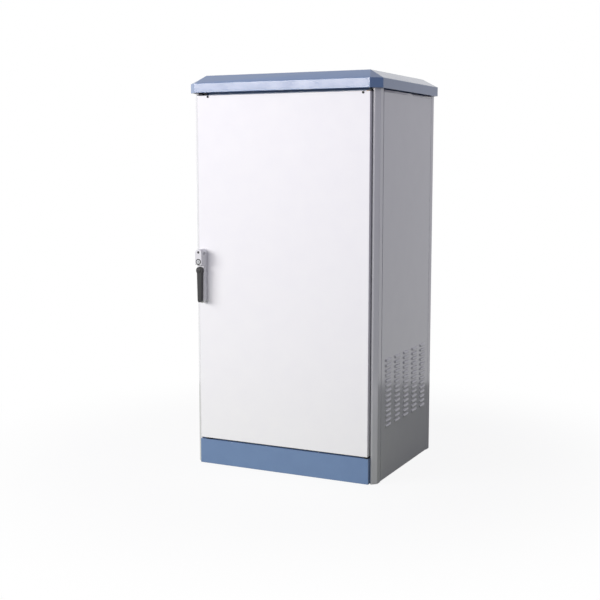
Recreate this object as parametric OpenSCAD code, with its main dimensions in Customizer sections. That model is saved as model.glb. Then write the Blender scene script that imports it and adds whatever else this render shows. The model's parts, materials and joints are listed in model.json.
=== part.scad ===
// Outdoor equipment cabinet: four folded corner posts, louvred side panels, a front door on pivot
// pins with a lever lock that works two latch rods, and a bevelled rain hood over open eaves.
// Millimetres, front towards -Y, floor at Z = 0, origin at the middle of the anchor holes.

/* [Body] */
// Width across the corner posts
body_w = 800; // [740:1:900]
// Depth across the corner posts
body_d = 634; // [600:1:760]
// Height of the hood's lower edge above the floor
eaves_z = 1513; // [1350:1:1700]
// Height of the frame above the hood's lower edge
frame_rise = 17; // [12:1:24]
// Sheet of the door, panels and covers
sheet_t = 1.5; // [1.2:0.1:2]
// Sheet of the posts and the top frame
frame_t = 2; // [1.5:0.1:2.5]
// Sheet of the base frame
base_t = 3; // [2.5:0.1:4]
// Inside radius of a fold
fold_r = 1.5; // [1:0.1:2]

/* [Posts] */
// Width of the corner chamfer
post_chamfer = 16; // [12:0.5:20]
// Width of the narrow front strip beside the door
post_strip = 8; // [7:0.5:14]
// Width of the strip beside the side panel
post_side = 34; // [24:1:45]
// Depth of the door rebate
rebate_d = 30; // [26:0.5:36]
// Width of the land at the bottom of the rebate
land_w = 21; // [19:0.5:26]
// Height of the sealing lip above the land
lip_d = 10; // [7:0.5:11]
// Depth of the recess that takes a side panel
recess_d = 18; // [16:0.5:24]
// Width of the tab that a side panel seats on
tab_w = 24; // [20:1:32]

/* [Base] */
// Height of the front plinth cover
plinth_h = 103; // [80:1:140]
// Width of the foot flange with the anchor holes
foot_w = 40; // [36:1:44]
// Distance from an anchor hole to the outside of the body
anchor_in = 52; // [50:0.5:55]
// Distance between anchor holes from side to side
anchor_span = 600; // [500:1:640]
// Radius of an anchor hole
anchor_r = 7; // [5:0.5:8]
// Width of the ledge that carries the floor plate
ledge_w = 11; // [8:0.5:11]
// Thickness of the floor plate
floor_t = 2; // [1.5:0.1:3]
// Clear radius of a cable grommet's hole
grommet_r = 30; // [20:1:34]
// Distance between cable grommets
grommet_pitch = 150; // [90:1:165]

/* [Hood] */
// Height of the hood's upright skirt
skirt_h = 37; // [28:1:50]
// Rise of the bevel above the skirt
hood_rise = 33; // [24:1:45]
// Width of the bevel seen from above
hood_bevel = 60; // [45:1:80]
// Width of the hood's corner chamfer
hood_chamfer = 38; // [28:1:45]
// Overhang at the front
front_overhang = 34; // [30:1:50]
// Overhang at each side
side_overhang = 15; // [12:1:35]
// Overhang at the back
rear_overhang = 26; // [20:1:45]
// Sheet of the hood
hood_t = 2; // [1.5:0.1:3]
// Width of the drip return under the skirt
drip_w = 8; // [6:0.5:13]

/* [Door] */
// Gap between the door and a post
door_gap = 5; // [4.5:0.5:7]
// How far the door's face stands proud of the posts
door_proud = 16; // [14:0.5:20]
// Depth of the door's folded edge
door_depth = 30; // [28:0.5:31]
// Width of the door's inner flange
door_flange = 26; // [24:0.5:30]
// Gap between the plinth cover and the door
door_foot_gap = 7; // [6:0.25:9]
// Gap between the door or a panel and the hood's lower edge
eaves_gap = 11; // [9:0.5:16]
// Width of the door's foam seal
seal_w = 12; // [8:0.5:13]
// Distance from a door edge to the middle of the seal
seal_in = 17; // [16.5:0.25:17.5]
// Width of a door stiffener
stiffener_w = 80; // [60:1:120]
// Distance from the middle of the door to a stiffener
stiffener_x = 140; // [80:1:220]
// Depth of a door stiffener
stiffener_d = 14; // [10:0.5:18]

/* [Hinges] */
// Distance from the pivot to the door's side edge
pivot_in = 8.5; // [8:0.25:9]
// Distance from the pivot to the door's face
pivot_back = 9; // [8.5:0.25:9.5]
// Radius of a pivot pin
pivot_r = 4; // [3:0.25:4.5]
// Wall of a pivot bush
bush_wall = 2; // [1.5:0.1:2.4]
// Length of a pivot bush inside the door
bush_l = 18; // [12:1:26]
// Thickness of a pivot or keeper bracket
bracket_t = 4; // [3:0.25:4]
// Width of a pivot or keeper bracket
bracket_w = 18; // [16:0.5:18.5]

/* [Side panels] */
// Gap between a panel and a post
panel_gap = 1.5; // [1:0.25:4]
// Gap between a panel and the floor
floor_gap = 2.5; // [2:0.5:12]
// Width of a panel's inner flange
panel_flange = 20; // [18:0.5:24]
// Louvres in a row
louvre_columns = 5; // [3:1:5]
// Rows of louvres
louvre_rows = 14; // [6:1:16]
// Length of a louvre
louvre_l = 58; // [45:1:84]
// Distance between louvres along a row
louvre_pitch = 98; // [92:1:102]
// Distance between rows of louvres
row_pitch = 20; // [17:0.5:24]
// Height of the lowest row
louvre_z = 208; // [190:1:260]
// How far a louvre hood stands out
louvre_out = 6; // [4.5:0.5:9]
// Height of a louvre hood
louvre_h = 10; // [8:0.5:14]
// Thickness of the drawn sheet in a louvre hood
louvre_t = 1.2; // [1:0.1:1.5]
// Length over which a louvre's ends round off
louvre_end = 9; // [6:0.5:14]
// Border of the dust filter around the louvres
filter_border = 16; // [12:1:20]

/* [Lock] */
// Distance from the lock's axis to the door's edge
lock_in = 21; // [20.5:0.25:23]
// Height of the lever's axis
lock_z = 806; // [700:1:860]
// Width of the lock housing
lock_w = 30; // [28:0.5:34]
// Length of the housing below the lever's axis
lock_below = 133; // [115:1:150]
// Length of the housing above the lever's axis
lock_above = 86; // [80:1:110]
// Depth of the housing behind the lever
lock_d = 27; // [22:0.5:32]
// Depth of the housing's head
head_d = 45; // [42:0.5:52]
// Length of the housing's head
head_l = 62; // [50:1:64]
// Radius of the padlock hole through the head
eye_r = 5.5; // [4:0.25:6.5]
// Distance from the top of the head to the padlock hole
eye_down = 17; // [13:0.5:22]
// Distance from the padlock hole to the door's face
eye_out = 26; // [22:0.5:30]
// Radius of the lever's boss
boss_r = 15; // [13:0.25:16]
// Length of the lever from its axis to its tip
lever_l = 129; // [100:1:140]
// Width of the grip beside the boss
grip_w = 21; // [18:0.5:26]
// Width of the grip at its tip
tip_w = 17; // [14:0.5:22]
// Thickness of the lever
lever_t = 13; // [10:0.5:16]
// Radius of the key cylinder
key_r = 8; // [6:0.25:9]
// Throw radius of the cam's studs
throw_r = 12; // [10:0.25:12.5]
// Width of a latch rod
rod_w = 10; // [8:0.25:11]
// Thickness of a latch rod
rod_t = 4; // [3:0.25:5]

/* [Equipment] */
// Distance between the mounting holes of left and right rack rails
rack_span = 465.1; // [465:0.1:466]
// Clear width between the rack rails
rack_clear = 450; // [448:0.5:452]
// Width of a rack rail's front flange
rail_w = 25; // [22:0.5:30]
// Depth of a rack rail
rail_d = 40; // [30:1:55]
// Distance from the middle of the body to the front and rear rack rails
rail_y = 200; // [170:1:215]
// Height of one rack unit
rack_unit = 44.45; // [44.4:0.01:44.5]
// Height of a cross bar
bar_h = 30; // [24:1:40]
// Width and depth of a fan
fan_w = 119; // [90:1:125]
// Height of a fan
fan_h = 38; // [30:1:42]
// Distance from the middle of the body to a fan
fan_x = 110; // [80:1:130]
// Blades of a fan
fan_blades = 7; // [5:1:9]
// Length of the earth bar
earth_l = 300; // [200:1:400]

/* [Hidden] */
$fn = 48;

// Colours of the finishes
paint_white = "#f1f1f4";
paint_grey = "#a9a9ae";
paint_blue = "#7f98bd";
zinc = "#b4b7ba";
black_plastic = "#2d2d2f";
rubber_black = "#242526";
copper = "#b4703f";

// Fits and small overlaps used throughout
run_fit = 0.05;
soft_gap = 0.3;
slip = 0.5;
cut = 1;
bend_steps = 3;
lever_steps = 14;

// Outer planes of the body
half_w = body_w / 2;
half_d = body_d / 2;
frame_top = eaves_z + frame_rise;
panel_top = eaves_z - eaves_gap;

// Post section, measured inwards from the side plane and from the front plane
strip_in = post_chamfer + post_strip;
side_in = post_chamfer + post_side;
lip_in = strip_in + land_w;
rail_half = half_w - lip_in - frame_t;
foot_half = half_w - recess_d - frame_t - slip;
ear_in = rebate_d + base_t + fold_r + slip;
side_run = body_d - 2 * (side_in + tab_w);
post_path = [
    [recess_d, side_in + tab_w], [recess_d, side_in], [0, side_in], [0, post_chamfer],
    [post_chamfer, 0], [strip_in, 0], [strip_in, rebate_d], [lip_in, rebate_d],
    [lip_in, rebate_d - lip_d]
];

// Door: box-edged tray that fills the opening between the posts
door_w = body_w - 2 * (strip_in + door_gap);
door_y = -half_d - door_proud;
door_z = plinth_h + door_foot_gap;
door_h = panel_top - door_z;
door_back = door_y + door_depth;
door_inner = door_y + sheet_t;
land_y = -half_d + rebate_d;
lip_y = land_y - lip_d;
pivot = [door_w / 2 - pivot_in, door_y + pivot_back];

// Panels
panel_w = body_d - 2 * (side_in + panel_gap);
panel_h = panel_top - floor_gap;
rear_w = body_w - 2 * (strip_in + panel_gap);
rear_depth = rebate_d - lip_d;
plinth_gap = 1;
plinth_w = body_w - 2 * (strip_in + plinth_gap);
plinth_foot = 2;
plinth_depth = door_proud + rebate_d - lip_d;

// Floor plate and top plate fit between the webs of the frame
plate_w = body_w - 2 * strip_in;
plate_d = body_d - 2 * (rebate_d + base_t + cut);
floor_top = plinth_h + floor_t;
grommet_count = 4;
grommet_y = 60;
grommet_lip = 5;
grommet_h = 12;
membrane_t = 2;
flange_top_w = 32;
web_drop = 60;

// Hood, measured over its skirt
hood_w = body_w + 2 * side_overhang;
hood_d = body_d + front_overhang + rear_overhang;
hood_y = (rear_overhang - front_overhang) / 2;
hood_slope = hood_rise / hood_bevel;
hood_under = eaves_z + skirt_h + hood_rise - hood_t;
roof_bracket_x = 250;
roof_bracket_y = 150;
roof_bracket_w = 40;
roof_bracket_flange = 30;
roof_stud_r = 4;
roof_stud_l = 16;
roof_nut_r = 7.5;
roof_nut_h = 7;

// Louvre field
louvre_top = louvre_z + (louvre_rows - 1) * row_pitch + louvre_h;
field_w = (louvre_columns - 1) * louvre_pitch + louvre_l;
field_mid = (louvre_z + louvre_top) / 2;
filter_w = field_w + 2 * filter_border;
filter_h = louvre_top - louvre_z + 2 * filter_border;
filter_back = 3;
filter_depth = recess_d - 2 * sheet_t - filter_back;
filter_lip = 8;
arc_steps = 4;

// Pivot brackets and keepers seat on the lands beside the door opening
bracket_x = half_w - strip_in - sheet_t - bracket_w / 2;
bracket_front = pivot[1] - bracket_w / 2;
bracket_reach = land_y - bracket_front;
bracket_tab = 22;
keeper_wall = 3;
thrust = 1;
lower_bracket_z = door_z - thrust - soft_gap / 2 - bracket_t;
upper_bracket_z = panel_top + thrust + soft_gap / 2;
bush_r = pivot_r + run_fit + bush_wall;
bush_rim = 2;

// Lock: everything on the lever's axis is laid out from the door's face
lock_x = -door_w / 2 + lock_in;
lock_top = lock_z + lock_above;
head_z = lock_top - head_l;
lever_back = door_y - lock_d - thrust;
lever_front = lever_back - lever_t;
crown_r = 60;
head_nose = 8;
spindle_r = 8;
neck_r = 6;
collar_r = 11;
collar_t = 3;
cap_r = 9;
cap_t = 2;
cam_in = 12.5;
cam_y = door_inner + cam_in;
cam_t = 4;
cam_r = 7;
cam_end_r = 4.5;
stud_r = 2.5;
stud_l = 6.5;
key_wall = 4;
key_z = head_z + key_r + key_wall;
key_l = 20;
key_proud = 1.5;
key_slot_w = 1.6;
key_slot_l = 9;

// Latch rods ride on the cam's studs, which swing from 45 degrees on one side to 45 on the other;
// a stud strays from an even travel by a little, which the slot in the rod's head leaves free
swing = 45;
throw_x = throw_r * cos(swing);
throw_z = throw_r * sin(swing);
stray_at = acos(throw_z / throw_r * 180 / (swing * PI));
stray = throw_r * sin(stray_at) - throw_z * stray_at / swing;
stud_play = 0.15;
rod_y = cam_y + cam_t + slip;
rod_off = (throw_r + throw_x) / 2;
rod_head_h = 14;
slot_half = stud_r + stray + stud_play;
slot_left = throw_x - stud_r - slip;
slot_right = throw_r + stud_r + slip;
slot_wall = 2.2;
rod_short = 0.8;
rod_top = upper_bracket_z - rod_short;
rod_foot = lower_bracket_z + bracket_t + rod_short;
guide_side = 4;
guide_w = rod_w + 2 * guide_side;
guide_h = 16;
guide_wall = 2;
guide_near = 60;

// Rack rails stand between the lower and upper cross bars
bar_w = rail_d;
bar_l = plate_w - 2 * cut;
bar_t = 2;
rail_z = floor_top + bar_h;
rail_top = frame_top - frame_t - bar_h;
rail_h = rail_top - rail_z;
rail_t = 2;
rack_hole = 9.5;
hole_step = 15.875;
units = floor((rail_h - hole_step) / rack_unit);

// Fans hang under the top plate
fan_z = frame_top - fan_h;
fan_wall = 1;
fan_bore = fan_w / 2 - fan_wall;
fan_gap = 2;
fan_hub_r = 20;
fan_strut = 4;
fan_shaft_r = 3;
blade_t = 1.6;
blade_tilt = 38;
guard_t = 2;
guard_bar = 2.4;
guard_ear = 30;
guard_rings = 4;

// Earth bar on the rear lower cross bar
earth_h = 24;
earth_t = 5;
earth_off = 25;
earth_count = 6;
insulator_r = 9;
bolt_r = 3;
bolt_head_r = 5.5;
bolt_head_t = 4;

// Functions for a strip of sheet folded along a path, with its metal on the path's left
function unit(a) = a / norm(a);
function left_of(a) = [-a[1], a[0]];
function turn(a, b) = atan2(a[0] * b[1] - a[1] * b[0], a * b);
function heading(a) = atan2(a[1], a[0]);
function fold(p, i, t, off) =
    let (
        a = unit(p[i] - p[i - 1]),
        b = unit(p[i + 1] - p[i]),
        s = turn(a, b),
        side = sign(s),
        r = side > 0 ? fold_r + t : fold_r,
        c = p[i] - a * r * tan(abs(s) / 2) + left_of(a) * side * r,
        from = heading(-left_of(a) * side)
    )
    [for (k = [0:bend_steps]) let (q = from + s * k / bend_steps) c + (r - side * off) * [cos(q), sin(q)]];
function edge(p, t, off) =
    let (n = len(p) - 1)
    concat(
        [p[0] + left_of(unit(p[1] - p[0])) * off],
        [for (i = [1:n - 1]) for (q = fold(p, i, t, off)) q],
        [p[n] + left_of(unit(p[n] - p[n - 1])) * off]
    );
function reversed(p) = [for (i = [len(p) - 1:-1:0]) p[i]];
function folded(p, t) = concat(edge(p, t, 0), reversed(edge(p, t, t)));

// A quarter of an ellipse from [a, 0] to [0, b]
function quarter(a, b) = [for (k = [0:arc_steps]) [a * cos(90 * k / arc_steps), b * sin(90 * k / arc_steps)]];

// An arc about the origin between two angles
function arc(r, from, to) = [
    for (k = [0:lever_steps])
        let (q = from + (to - from) * k / lever_steps)
            r * [cos(q), sin(q)]
];

// A rectangle with its corners cut off
function octagon(w, d, c) = [
    for (s = [[1, 1], [-1, 1], [-1, -1], [1, -1]])
        for (k = s[0] * s[1] > 0 ? [0, 1] : [1, 0])
            [s[0] * (w / 2 - k * c), s[1] * (d / 2 - (1 - k) * c)]
];

// Moves a shape from the front left corner to any corner
module at_corner(right, rear) {
    mirror([right ? 1 : 0, 0, 0])
        mirror([0, rear ? 1 : 0, 0])
            translate([-half_w, -half_d, 0])
                children();
}

// A folded strip that runs along X, its path given as distance from the front plane and height
module rail_along_x(path, t, half) {
    translate([-half, -half_d, 0])
        rotate([90, 0, 90])
            linear_extrude(2 * half)
                polygon(folded(path, t));
}

// A folded strip that runs along Y, its path given as distance from the left plane and height
module rail_along_y(path, t, run) {
    translate([-half_w, run / 2, 0])
        rotate([90, 0, 0])
            linear_extrude(run)
                polygon(folded(path, t));
}

// A sheet tray with box edges: its face on y = 0, its depth along +Y
module edge_tray(w, d, h, flange) {
    difference() {
        translate([-w / 2, 0, 0])
            cube([w, d, h]);
        translate([-w / 2 + sheet_t, sheet_t, sheet_t])
            cube([w - 2 * sheet_t, d - 2 * sheet_t, h - 2 * sheet_t]);
        translate([-w / 2 + flange, d / 2, flange])
            cube([w - 2 * flange, d, h - 2 * flange]);
    }
}

// Front rail with the door's lower sealing lip, rear rail, and a channel at each side
module base_frame() {
    front = [
        [rebate_d - lip_d, door_z + seal_in - base_t / 2], [rebate_d, door_z + seal_in - base_t / 2],
        [rebate_d, 0], [rebate_d + foot_w, 0]
    ];
    rear = [
        [rebate_d + base_t + ledge_w, plinth_h], [rebate_d, plinth_h],
        [rebate_d, 0], [rebate_d + foot_w, 0]
    ];
    side = [
        [recess_d + foot_w, plinth_h], [recess_d, plinth_h],
        [recess_d, 0], [recess_d + foot_w, 0]
    ];
    color(paint_grey) {
        difference() {
            union() {
                rail_along_x(front, base_t, rail_half);
                translate([-rail_half, land_y + base_t / 2, plinth_h - base_t])
                    cube([2 * rail_half, ledge_w + base_t / 2, base_t]);
                foot_ears();
            }
            anchor_holes();
        }
        difference() {
            union() {
                mirror([0, 1, 0])
                    rail_along_x(rear, base_t, rail_half);
                translate([-rail_half, -land_y - base_t / 2, floor_gap + seal_in - base_t / 2])
                    cube([2 * rail_half, lip_d + base_t / 2, base_t]);
                mirror([0, 1, 0])
                    foot_ears();
            }
            anchor_holes();
        }
        for (right = [0, 1])
            mirror([right, 0, 0])
                rail_along_y(side, base_t, side_run);
    }
}

// Ends of a foot flange, which reach behind the posts
module foot_ears() {
    for (right = [0, 1])
        mirror([right, 0, 0])
            translate([-foot_half, ear_in - half_d, 0])
                cube([foot_half - rail_half + cut, rebate_d + foot_w - ear_in, base_t]);
}

module anchor_holes() {
    for (x = [-1, 1], y = [-1, 1])
        translate([x * anchor_span / 2, y * (half_d - anchor_in), -cut])
            cylinder(r = anchor_r, h = base_t + 2 * cut);
}

module grommet_places() {
    for (i = [0:grommet_count - 1])
        translate([(i - (grommet_count - 1) / 2) * grommet_pitch, grommet_y, 0])
            children();
}

module floor_plate() {
    color(zinc)
        difference() {
            translate([-plate_w / 2, -plate_d / 2, plinth_h])
                cube([plate_w, plate_d, floor_t]);
            grommet_places()
                translate([0, 0, plinth_h - cut])
                    cylinder(r = grommet_r, h = floor_t + 2 * cut);
        }
}

// Grommets with a closed membrane, each turned from one section
module cable_grommets() {
    low = plinth_h - (grommet_h - floor_t) / 2;
    color(rubber_black)
        grommet_places()
            translate([0, 0, low])
                rotate_extrude()
                    polygon([
                        [0, 0], [grommet_r + grommet_lip, 0],
                        [grommet_r + grommet_lip, plinth_h - low], [grommet_r - run_fit, plinth_h - low],
                        [grommet_r - run_fit, floor_top - low], [grommet_r + grommet_lip, floor_top - low],
                        [grommet_r, grommet_h], [grommet_r - grommet_lip, grommet_h],
                        [grommet_r - grommet_lip, membrane_t], [0, membrane_t]
                    ]);
}

module post(right, rear) {
    color(paint_grey)
        at_corner(right, rear)
            linear_extrude(frame_top)
                polygon(folded(post_path, frame_t));
}

module post_front_left() { post(false, false); }
module post_front_right() { post(true, false); }
module post_rear_left() { post(false, true); }
module post_rear_right() { post(true, true); }

// Front and rear rails with a sealing lip, and an angle along each side
module top_frame() {
    lip_z = panel_top - seal_in + frame_t / 2;
    end = [
        [rebate_d + flange_top_w, frame_top], [rebate_d, frame_top],
        [rebate_d, lip_z], [rebate_d - lip_d, lip_z]
    ];
    side = [
        [recess_d + flange_top_w, frame_top], [recess_d, frame_top], [recess_d, frame_top - web_drop]
    ];
    color(paint_grey) {
        for (rear = [0, 1])
            mirror([0, rear, 0])
                rail_along_x(end, frame_t, rail_half);
        for (right = [0, 1])
            mirror([right, 0, 0])
                rail_along_y(side, frame_t, side_run);
    }
}

module fan_places() {
    for (side = [-1, 1])
        translate([side * fan_x, 0, 0])
            children();
}

module top_plate() {
    color(zinc)
        difference() {
            translate([-plate_w / 2, -plate_d / 2, frame_top])
                cube([plate_w, plate_d, sheet_t]);
            fan_places()
                translate([0, 0, frame_top - cut])
                    cylinder(r = fan_bore, h = sheet_t + 2 * cut);
        }
}

module roof_bracket_places() {
    for (x = [-1, 1], y = [-1, 1])
        translate([x * roof_bracket_x, y * roof_bracket_y, 0])
            children();
}

// Z brackets that hold the hood above the top plate
module roof_brackets() {
    low = frame_top + sheet_t;
    path = [
        [-roof_bracket_flange, low], [0, low], [0, hood_under - frame_t],
        [roof_bracket_flange, hood_under - frame_t]
    ];
    color(zinc)
        roof_bracket_places()
            difference() {
                translate([-frame_t / 2, roof_bracket_w / 2, 0])
                    rotate([90, 0, 0])
                        linear_extrude(roof_bracket_w)
                            polygon(folded(path, frame_t));
                translate([roof_bracket_flange / 2, 0, hood_under - frame_t - cut])
                    cylinder(r = roof_stud_r + slip, h = frame_t + 2 * cut);
            }
}

// Studs under the hood, each with its nut
module roof_nuts() {
    color(zinc)
        roof_bracket_places()
            translate([roof_bracket_flange / 2, 0, 0]) {
                translate([0, 0, hood_under - roof_stud_l])
                    cylinder(r = roof_stud_r, h = roof_stud_l);
                translate([0, 0, hood_under - frame_t - roof_nut_h])
                    cylinder(r = roof_nut_r, h = roof_nut_h, $fn = 6);
            }
}

// Solid form of the hood: upright skirt with chamfered corners, bevels and a flat top
module hood_form(w, d, c, bevel, skirt, rise) {
    h = skirt + rise;
    reach = w + d;
    s_low = (w / 2 + d / 2 - c) / sqrt(2);
    s_high = (w / 2 + d / 2 - 2 * bevel) / sqrt(2);
    function gable(low, high) = [[-low, 0], [low, 0], [low, skirt], [high, h], [-high, h], [-low, skirt]];
    intersection() {
        linear_extrude(h)
            polygon(octagon(w, d, c));
        rotate([90, 0, 0])
            linear_extrude(reach, center = true)
                polygon(gable(w / 2, w / 2 - bevel));
        rotate([90, 0, 90])
            linear_extrude(reach, center = true)
                polygon(gable(d / 2, d / 2 - bevel));
        rotate([90, 0, 45])
            linear_extrude(reach, center = true)
                polygon(gable(s_low, s_high));
        rotate([90, 0, -45])
            linear_extrude(reach, center = true)
                polygon(gable(s_low, s_high));
    }
}

module roof_hood() {
    slant = sqrt(1 + pow(hood_slope, 2));
    inner_skirt = skirt_h + hood_t * (hood_slope - slant) - hood_t;
    inner_rise = skirt_h + hood_rise - 2 * hood_t - inner_skirt;
    inner_chamfer = hood_chamfer - hood_t * (2 - sqrt(2));
    open_chamfer = hood_chamfer - drip_w * (2 - sqrt(2));
    color(paint_blue)
        translate([0, hood_y, eaves_z])
            difference() {
                hood_form(hood_w, hood_d, hood_chamfer, hood_bevel, skirt_h, hood_rise);
                translate([0, 0, hood_t])
                    hood_form(hood_w - 2 * hood_t, hood_d - 2 * hood_t, inner_chamfer,
                        inner_rise / hood_slope, inner_skirt, inner_rise);
                translate([0, 0, -cut])
                    linear_extrude(hood_t + 2 * cut)
                        polygon(octagon(hood_w - 2 * drip_w, hood_d - 2 * drip_w, open_chamfer));
            }
}

// Row outlines of one louvre column, seen from the end of the slots; inset leaves the sheet's thickness
module louvre_rows_outline(inset) {
    out = louvre_out - inset;
    high = louvre_h - inset;
    back = inset > 0 ? sheet_t + cut : sheet_t / 2;
    foot = inset > 0 ? -slip : 0;
    for (row = [0:louvre_rows - 1])
        translate([0, louvre_z - floor_gap + row * row_pitch])
            polygon(concat(
                [[back, foot], [-out, foot]],
                [for (q = quarter(out, high)) [-q[0], q[1]]],
                [[back, high]]
            ));
}

// Plan of a louvre with its rounded ends
module louvre_plan(inset) {
    half = louvre_l / 2 - inset;
    out = louvre_out - inset;
    back = inset > 0 ? sheet_t + cut : sheet_t / 2;
    end = quarter(louvre_end, out);
    right = [for (q = end) [half - louvre_end + q[0], -q[1]]];
    left = [for (q = reversed(end)) [-half + louvre_end - q[0], -q[1]]];
    polygon(concat([[half, back]], right, left, [[-half, back]]));
}

module louvre_column(inset) {
    intersection() {
        rotate([90, 0, 90])
            linear_extrude(louvre_l + 2 * cut, center = true)
                louvre_rows_outline(inset);
        linear_extrude(panel_h)
            louvre_plan(inset);
    }
}

module louvre_places() {
    for (i = [0:louvre_columns - 1])
        translate([(i - (louvre_columns - 1) / 2) * louvre_pitch, 0, 0])
            children();
}

// Louvred tray with its face towards -Y
module louvred_panel() {
    difference() {
        union() {
            edge_tray(panel_w, recess_d, panel_h, panel_flange);
            louvre_places()
                louvre_column(0);
        }
        louvre_places()
            louvre_column(louvre_t);
    }
}

// Turns a shape made for a panel that faces -Y to the side of the body that it belongs to
module on_side(right) {
    turn_z = right ? 90 : -90;
    translate([right ? half_w : -half_w, 0, 0])
        rotate([0, 0, turn_z])
            children();
}

module side_panel(right) {
    color(paint_grey)
        on_side(right)
            translate([0, 0, floor_gap])
                louvred_panel();
}

module side_panel_left() { side_panel(false); }
module side_panel_right() { side_panel(true); }

// Channel frame around the dust filter, on the inside of the panel's face
module filter_frame(right) {
    color(zinc)
        on_side(right)
            translate([0, sheet_t, field_mid - filter_h / 2])
                difference() {
                    translate([-filter_w / 2, 0, 0])
                        cube([filter_w, filter_depth, filter_h]);
                    translate([-filter_w / 2 + sheet_t, -cut, sheet_t])
                        cube([filter_w - 2 * sheet_t, filter_depth - sheet_t + cut, filter_h - 2 * sheet_t]);
                    translate([-filter_w / 2 + filter_lip, -cut, filter_lip])
                        cube([filter_w - 2 * filter_lip, filter_depth + 2 * cut, filter_h - 2 * filter_lip]);
                }
}

module filter_frame_left() { filter_frame(false); }
module filter_frame_right() { filter_frame(true); }

module filter(right) {
    side = sheet_t + soft_gap;
    color("dimgray")
        on_side(right)
            translate([-filter_w / 2 + side, side, field_mid - filter_h / 2 + side])
                cube([filter_w - 2 * side, filter_depth - side - soft_gap, filter_h - 2 * side]);
}

module filter_left() { filter(false); }
module filter_right() { filter(true); }

module rear_panel() {
    color(paint_grey)
        mirror([0, 1, 0])
            translate([0, -half_d, floor_gap])
                edge_tray(rear_w, rear_depth, panel_h, door_flange);
}

module plinth_cover() {
    color(paint_blue)
        translate([0, door_y, plinth_foot])
            edge_tray(plinth_w, plinth_depth, plinth_h - plinth_foot, panel_flange);
}

// Rack rail with square holes in groups of three to a rack unit, its holes facing front or rear
module rack_rail(right, rear) {
    hole_x = rack_span / 2 - rack_clear / 2;
    color(zinc)
        mirror([right ? 0 : 1, 0, 0])
            mirror([0, rear ? 1 : 0, 0])
                translate([rack_clear / 2, -rail_y, rail_z]) {
                    translate([0, rail_t, 0])
                        rotate([90, 0, 0])
                            linear_extrude(rail_t)
                                difference() {
                                    square([rail_w, rail_h]);
                                    for (u = [0:units - 1], k = [0:2])
                                        translate([hole_x, (u + 0.5) * rack_unit + (k - 1) * hole_step])
                                            square(rack_hole, center = true);
                                }
                    translate([rail_w - rail_t, 0, 0])
                        cube([rail_t, rail_d, rail_h]);
                }
}

module rack_rail_front_left() { rack_rail(false, false); }
module rack_rail_front_right() { rack_rail(true, false); }
module rack_rail_rear_left() { rack_rail(false, true); }
module rack_rail_rear_right() { rack_rail(true, true); }

// Channels from side to side: two on the floor plate and two under the top frame
module rack_cross_bars() {
    path = [[0, 0], [0, bar_h], [bar_w, bar_h], [bar_w, 0]];
    color(zinc)
        for (rear = [0, 1])
            mirror([0, rear, 0])
                translate([-bar_l / 2, -rail_y, 0]) {
                    translate([0, 0, floor_top])
                        rotate([90, 0, 90])
                            linear_extrude(bar_l)
                                polygon(folded(reversed(path), bar_t));
                    translate([0, 0, rail_top + bar_h])
                        mirror([0, 0, 1])
                            rotate([90, 0, 90])
                                linear_extrude(bar_l)
                                    polygon(folded(reversed(path), bar_t));
                }
}

// Square fan frame with a round duct, three struts, the motor boss and the shaft
module fan_housing(side) {
    color(black_plastic)
        translate([side * fan_x, 0, fan_z]) {
            difference() {
                translate([-fan_w / 2, -fan_w / 2, 0])
                    cube([fan_w, fan_w, fan_h]);
                translate([0, 0, -cut])
                    cylinder(r = fan_bore, h = fan_h + 2 * cut);
            }
            cylinder(r = fan_hub_r, h = fan_strut);
            for (a = [0:120:240])
                rotate([0, 0, a])
                    translate([0, -fan_strut / 2, 0])
                        cube([fan_bore + slip, fan_strut, fan_strut]);
            cylinder(r = fan_shaft_r, h = fan_h - fan_strut);
        }
}

module fan_housing_left() { fan_housing(-1); }
module fan_housing_right() { fan_housing(1); }

// Hub with a bore for the shaft and tilted blades trimmed to the duct
module fan_rotor(side) {
    low = fan_strut + soft_gap;
    high = fan_h - fan_gap;
    color(rubber_black)
        translate([side * fan_x, 0, fan_z + low])
            difference() {
                union() {
                    cylinder(r = fan_hub_r, h = high - low);
                    intersection() {
                        cylinder(r = fan_bore - fan_gap, h = high - low);
                        for (i = [0:fan_blades - 1])
                            rotate([0, 0, i * 360 / fan_blades])
                                translate([fan_hub_r - fan_gap, 0, (high - low) / 2])
                                    rotate([blade_tilt, 0, 0])
                                        translate([0, -fan_bore / 2, -blade_t / 2])
                                            cube([fan_bore, fan_bore, blade_t]);
                    }
                }
                translate([0, 0, -cut])
                    cylinder(r = fan_shaft_r + run_fit, h = fan_h);
            }
}

module fan_rotor_left() { fan_rotor(-1); }
module fan_rotor_right() { fan_rotor(1); }

// Finger guard: flat rings on two crossed bars, against the fan's lower face
module fan_guard(side) {
    step = fan_bore / guard_rings;
    color("silver")
        translate([side * fan_x, 0, fan_z - guard_t])
            linear_extrude(guard_t) {
                for (i = [1:guard_rings])
                    difference() {
                        circle(r = i * step);
                        circle(r = i * step - guard_bar);
                    }
                for (a = [45, 135])
                    rotate([0, 0, a])
                        square([2 * fan_bore + guard_ear, guard_bar], center = true);
            }
}

module fan_guard_left() { fan_guard(-1); }
module fan_guard_right() { fan_guard(1); }

module earth_places() {
    for (i = [0:earth_count - 1])
        translate([(i - (earth_count - 1) / 2) * earth_l / earth_count, rail_y - bar_w, 0])
            children();
}

// Bar in front of the rear lower cross bar
module earth_bar() {
    low = floor_top + (bar_h - earth_h) / 2;
    color(copper)
        difference() {
            translate([-earth_l / 2, rail_y - bar_w - earth_off - earth_t, low])
                cube([earth_l, earth_t, earth_h]);
            earth_places()
                translate([0, -earth_off + cut, low + earth_h / 2])
                    rotate([90, 0, 0])
                        cylinder(r = bolt_r + slip / 2, h = earth_t + 2 * cut);
        }
}

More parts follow.
